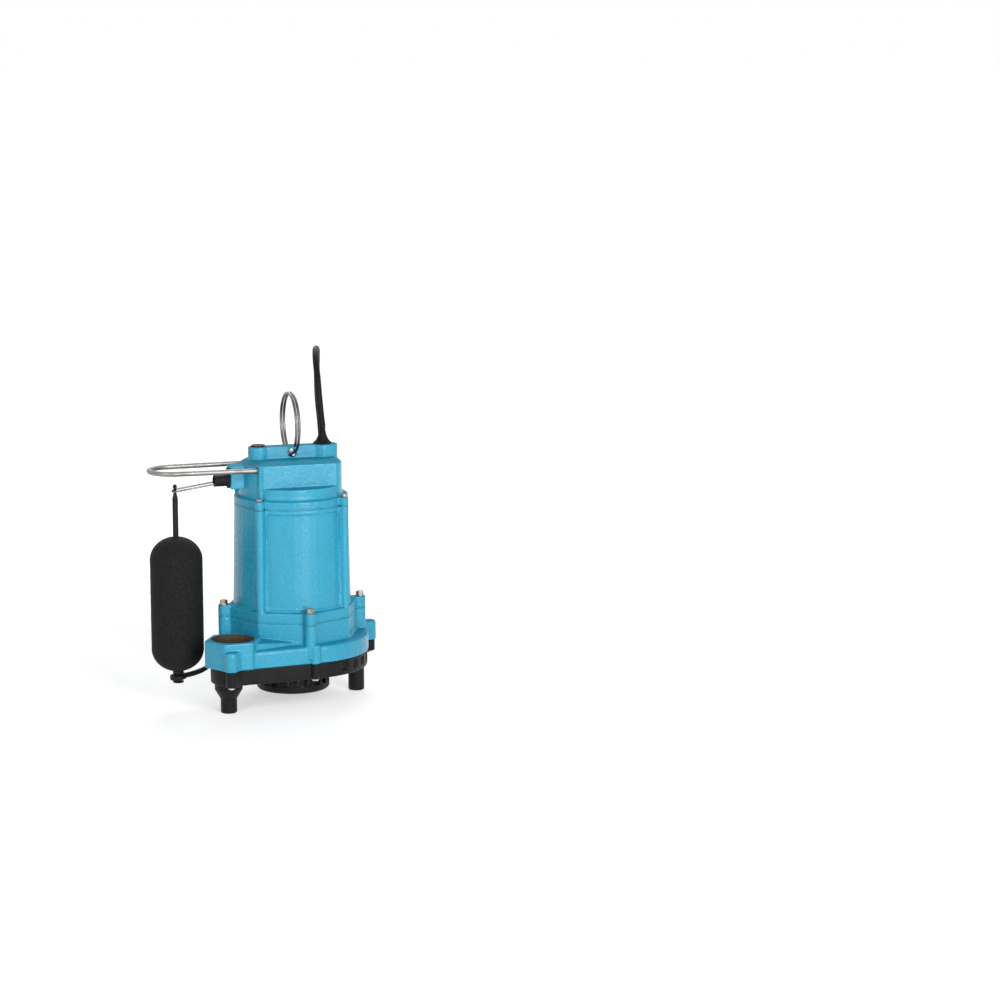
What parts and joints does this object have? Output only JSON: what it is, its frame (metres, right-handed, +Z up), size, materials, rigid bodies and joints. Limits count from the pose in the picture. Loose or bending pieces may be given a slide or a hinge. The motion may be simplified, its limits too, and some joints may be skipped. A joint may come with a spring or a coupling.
{
  "type": "submersible sump pump",
  "caption": "Upright submersible sump pump: cast motor housing on a volute with a threaded discharge, slotted intake base, and a float on a hinged rod that works the switch.",
  "frame": {"origin": "centre of the pump's bounding box at floor level, measured without the cord", "axes": "+Z up along the motor's axis; -Y towards the front with the recessed panel; -X towards the float"},
  "size_m": [0.3486, 0.4053, 0.4149],
  "materials": {
    "blue_paint": "semi-gloss blue paint on cast iron",
    "black_moulding": "moulded, satin",
    "black_rubber": "matt",
    "float_skin": "matt",
    "steel": "bright stainless",
    "bearing_steel": "ground",
    "lamination": "bare",
    "copper": "varnished copper wire",
    "brass": "bright",
    "ceramic": "lapped ceramic",
    "white_moulding": "moulded"
  },
  "bodies": {
    "pump": {"motor_housing": "blue_paint", "cover_gasket": "blue_paint", "volute_gasket": "blue_paint", "top_cover": "blue_paint", "cover_screw_1": "steel", "cover_screw_2": "steel", "cover_screw_3": "steel", "cover_screw_4": "steel", "housing_bolt_1": "steel", "housing_bolt_2": "steel", "housing_bolt_3": "steel", "housing_bolt_4": "steel", "base_screw_port": "steel", "base_screw_front": "steel", "base_screw_right": "steel", "base_screw_back": "steel", "cover_plug": "black_moulding", "cord_strain_relief": "black_rubber", "guard_bail": "steel", "switch_boot": "black_rubber", "switch_pivot_pin": "steel", "snap_switch": "black_moulding", "volute": "blue_paint", "base": "black_moulding", "tether_pin": "steel", "strainer": "black_moulding", "stator": "lamination", "lower_winding": "copper", "upper_winding": "copper", "upper_bearing": "bearing_steel", "bearing_bracket": "lamination", "lower_bearing": "bearing_steel", "seal_seat": "ceramic", "cord_coil": "black_rubber", "power_cord": "black_rubber", "cord_tail": "black_rubber", "plug_body": "black_moulding", "plug_blade_1": "brass", "plug_blade_2": "brass", "plug_ground_pin": "brass"},
    "arm": {"float_arm": "steel"},
    "float": {"float_rod": "black_rubber", "float_body": "float_skin", "float_retainer": "black_moulding"},
    "tether": {"float_tether": "black_rubber"},
    "plunger": {"switch_plunger": "white_moulding"},
    "ring": {"lifting_ring": "steel"},
    "rotor_unit": {"motor_shaft": "steel", "rotor": "lamination", "impeller": "black_moulding", "seal_head": "black_rubber"}
  },
  "joints": [
    {"name": "float_arm_lift", "type": "hinge", "parent": "pump", "child": "arm", "pos_m": [-0.03869, 0.00815, 0.2686], "axis": [0, 1, 0], "range_deg": [0, 12]},
    {"name": "float_swing", "type": "hinge", "parent": "arm", "child": "float", "pos_m": [-0.10849, 0.00815, 0.2588], "axis": [0, 1, 0], "range_deg": [-12, 0]},
    {"name": "tether_swing", "type": "hinge", "parent": "pump", "child": "tether", "pos_m": [-0.06569, 0.00815, 0.05], "axis": [0, 1, 0], "range_deg": [0, 19.2]},
    {"name": "plunger_press", "type": "slide", "parent": "pump", "child": "plunger", "axis": [1, 0, 0], "range_m": [0, 0.0016]},
    {"name": "ring_swing", "type": "hinge", "parent": "pump", "child": "ring", "pos_m": [0.03131, 0.00815, 0.2982], "axis": [0, 1, 0], "range_deg": [-75, 20]},
    {"name": "rotor_spin", "type": "hinge", "parent": "pump", "child": "rotor_unit", "pos_m": [0.03131, 0.00815, 0.152], "axis": [0, 0, 1], "continuous": true}
  ],
  "couplings": [
    {"joint": "float_swing", "follows": "float_arm_lift", "ratio": -1},
    {"joint": "tether_swing", "follows": "float_arm_lift", "ratio": 1.59},
    {"joint": "plunger_press", "follows": "float_arm_lift", "m_per_rad": 0.0074}
  ]
}
